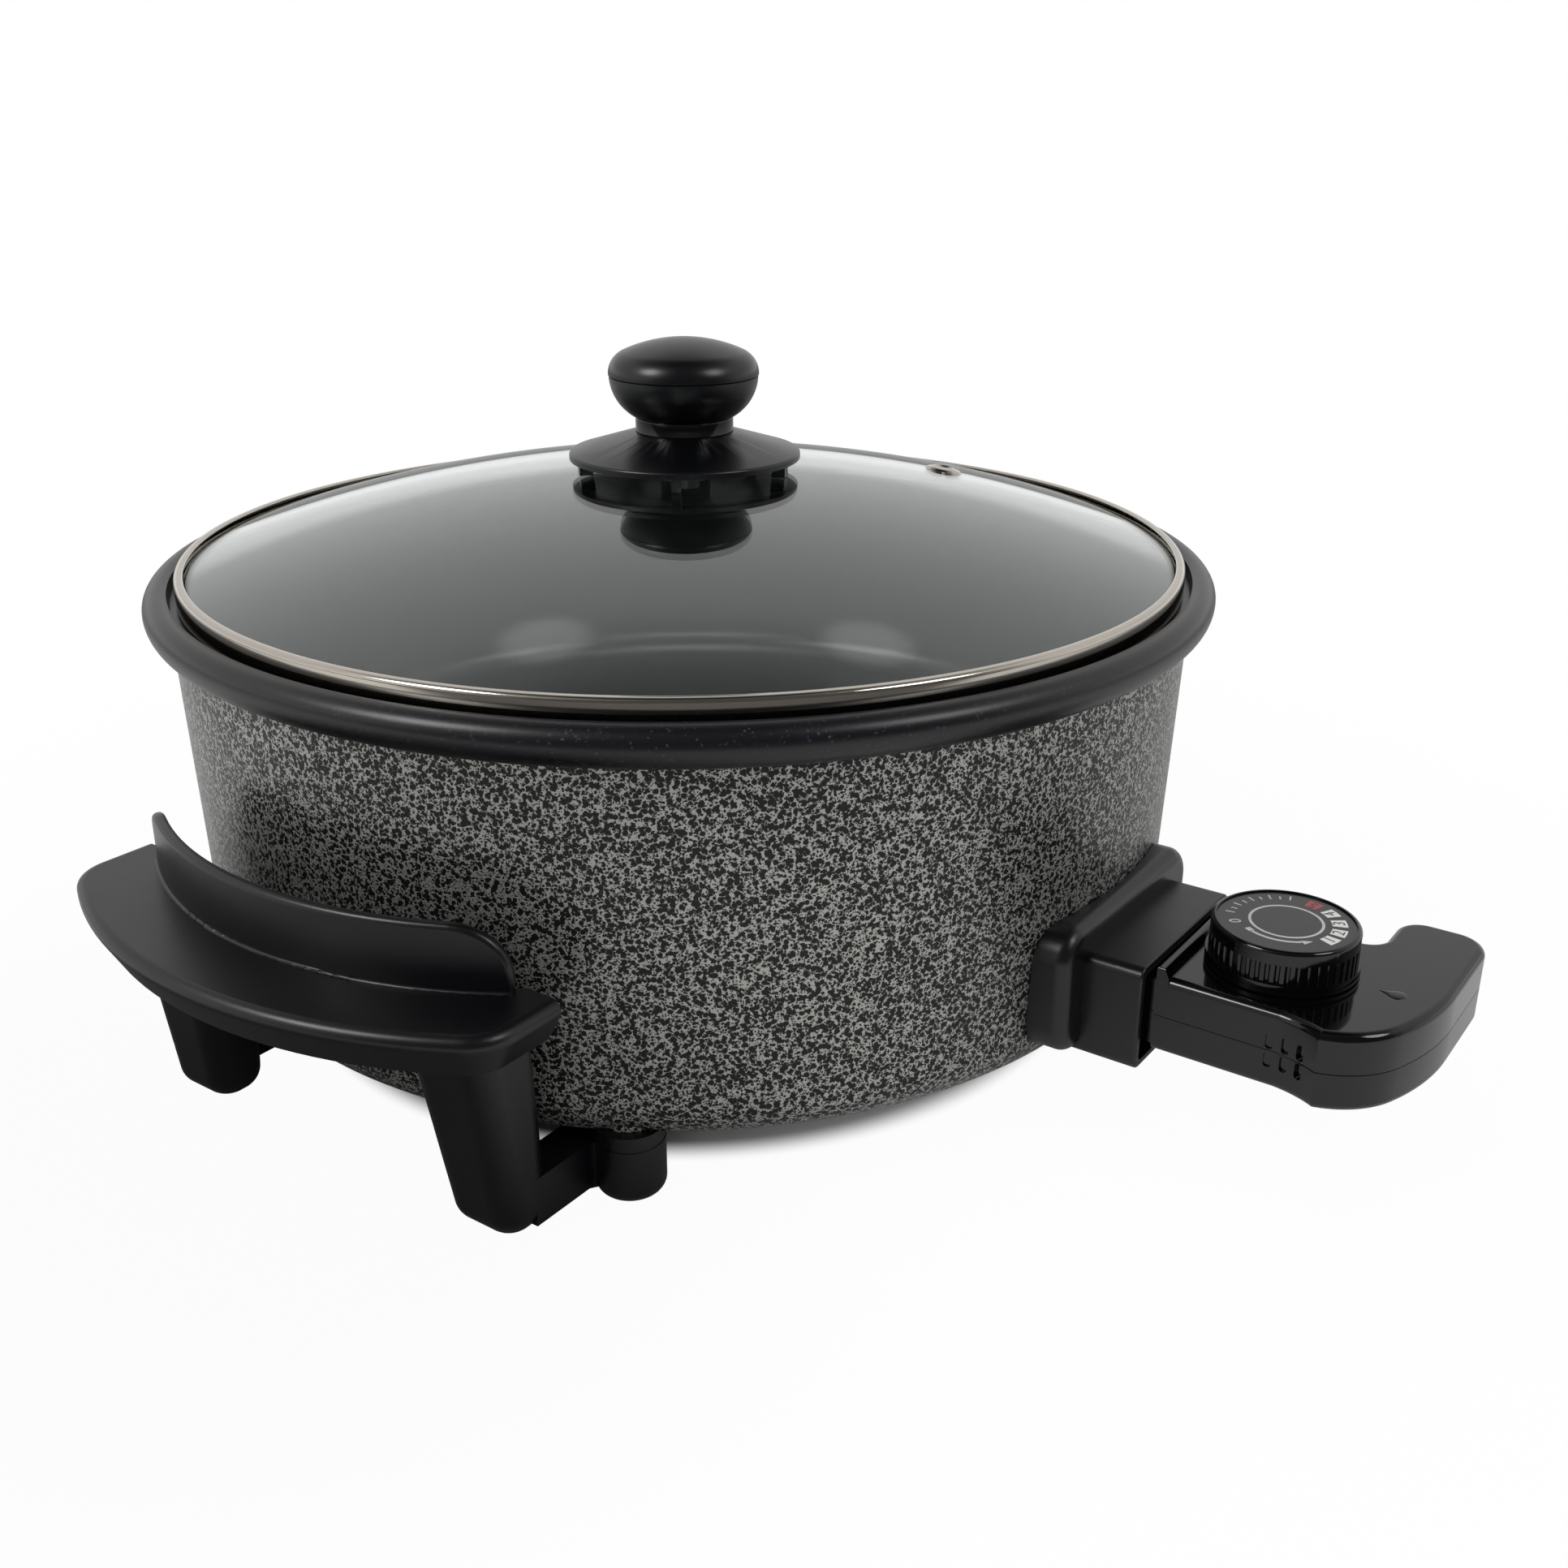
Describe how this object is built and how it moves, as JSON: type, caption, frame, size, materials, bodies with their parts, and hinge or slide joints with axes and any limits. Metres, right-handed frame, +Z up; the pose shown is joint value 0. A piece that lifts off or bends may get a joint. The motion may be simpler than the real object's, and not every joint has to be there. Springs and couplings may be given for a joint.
{
  "type": "electric skillet",
  "caption": "Deep round electric pan with a domed glass lid, crescent side handles that carry the feet, and a plug-in dial thermostat.",
  "frame": {"origin": "on the pan's vertical axis, on the surface it stands on", "axes": "+Z up; +X from the pan's axis to the plug-in thermostat; the handles lie along -Y and +Y"},
  "size_m": [0.4266, 0.4158, 0.2117],
  "materials": {
    "hammertone": "hammertone stoved enamel outside, non-stick coating inside",
    "cast_aluminium": "bare casting",
    "sheath_steel": "oxidised element sheath",
    "plated_pin": "nickel plated",
    "ceramic": "unglazed ceramic",
    "plate_steel": "zinc plated sheet",
    "moulded_black": "satin phenolic moulding",
    "gloss_black": "gloss black moulding",
    "lid_steel": "bright rolled stainless steel",
    "lid_glass": "clear tempered glass",
    "silicone": "silicone rubber",
    "brass": "plain brass",
    "dial_print": "printed disc"
  },
  "bodies": {
    "pan": {"pan_body": "hammertone", "pan_floor": "hammertone", "heat_plate": "cast_aluminium", "heating_element": "sheath_steel", "terminal_pins": "plated_pin", "pin_insulators": "ceramic", "terminal_plate": "plate_steel", "socket_shroud": "moulded_black", "shroud_screws": "plate_steel", "front_handle": "moulded_black", "rear_handle": "moulded_black", "front_handle_screws": "plate_steel", "rear_handle_screws": "plate_steel", "base_cover": "plate_steel", "cover_screws": "plate_steel"},
    "lid": {"lid_glass": "lid_glass", "lid_ring": "lid_steel", "vent_eyelet": "lid_steel", "knob_skirt": "moulded_black", "knob_collar": "gloss_black", "knob_grip": "moulded_black", "knob_screw": "plate_steel", "knob_washer": "plate_steel", "knob_gasket": "silicone"},
    "thermostat": {"case_upper": "gloss_black", "case_lower": "gloss_black", "case_screws": "plate_steel", "probe_tube": "lid_steel", "probe_rod": "plate_steel", "contact_sleeves": "brass", "contact_block": "ceramic", "bridge_frame": "plate_steel", "fixed_contact": "brass", "moving_contact": "brass", "earth_spring": "plate_steel", "cord_bush": "gloss_black"},
    "dial_knob": {"dial": "gloss_black", "dial_face": "dial_print"},
    "adjuster": {"adjusting_screw": "plate_steel"}
  },
  "joints": [
    {"name": "lid_lift", "type": "slide", "parent": "pan", "child": "lid", "axis": [0, 0, 1], "range_m": [0, 0.12]},
    {"name": "thermostat_plug", "type": "slide", "parent": "pan", "child": "thermostat", "axis": [1, 0, 0], "range_m": [0, 0.1]},
    {"name": "dial_turn", "type": "hinge", "parent": "thermostat", "child": "dial_knob", "pos_m": [0.2113, 0, 0.0565], "axis": [0, 0, 1], "range_deg": [-80, 142]},
    {"name": "screw_turn", "type": "hinge", "parent": "thermostat", "child": "adjuster", "pos_m": [0.2113, 0, 0.0565], "axis": [0, 0, 1], "range_deg": [-80, 142]}
  ],
  "couplings": [
    {"joint": "screw_turn", "follows": "dial_turn", "ratio": 1}
  ]
}
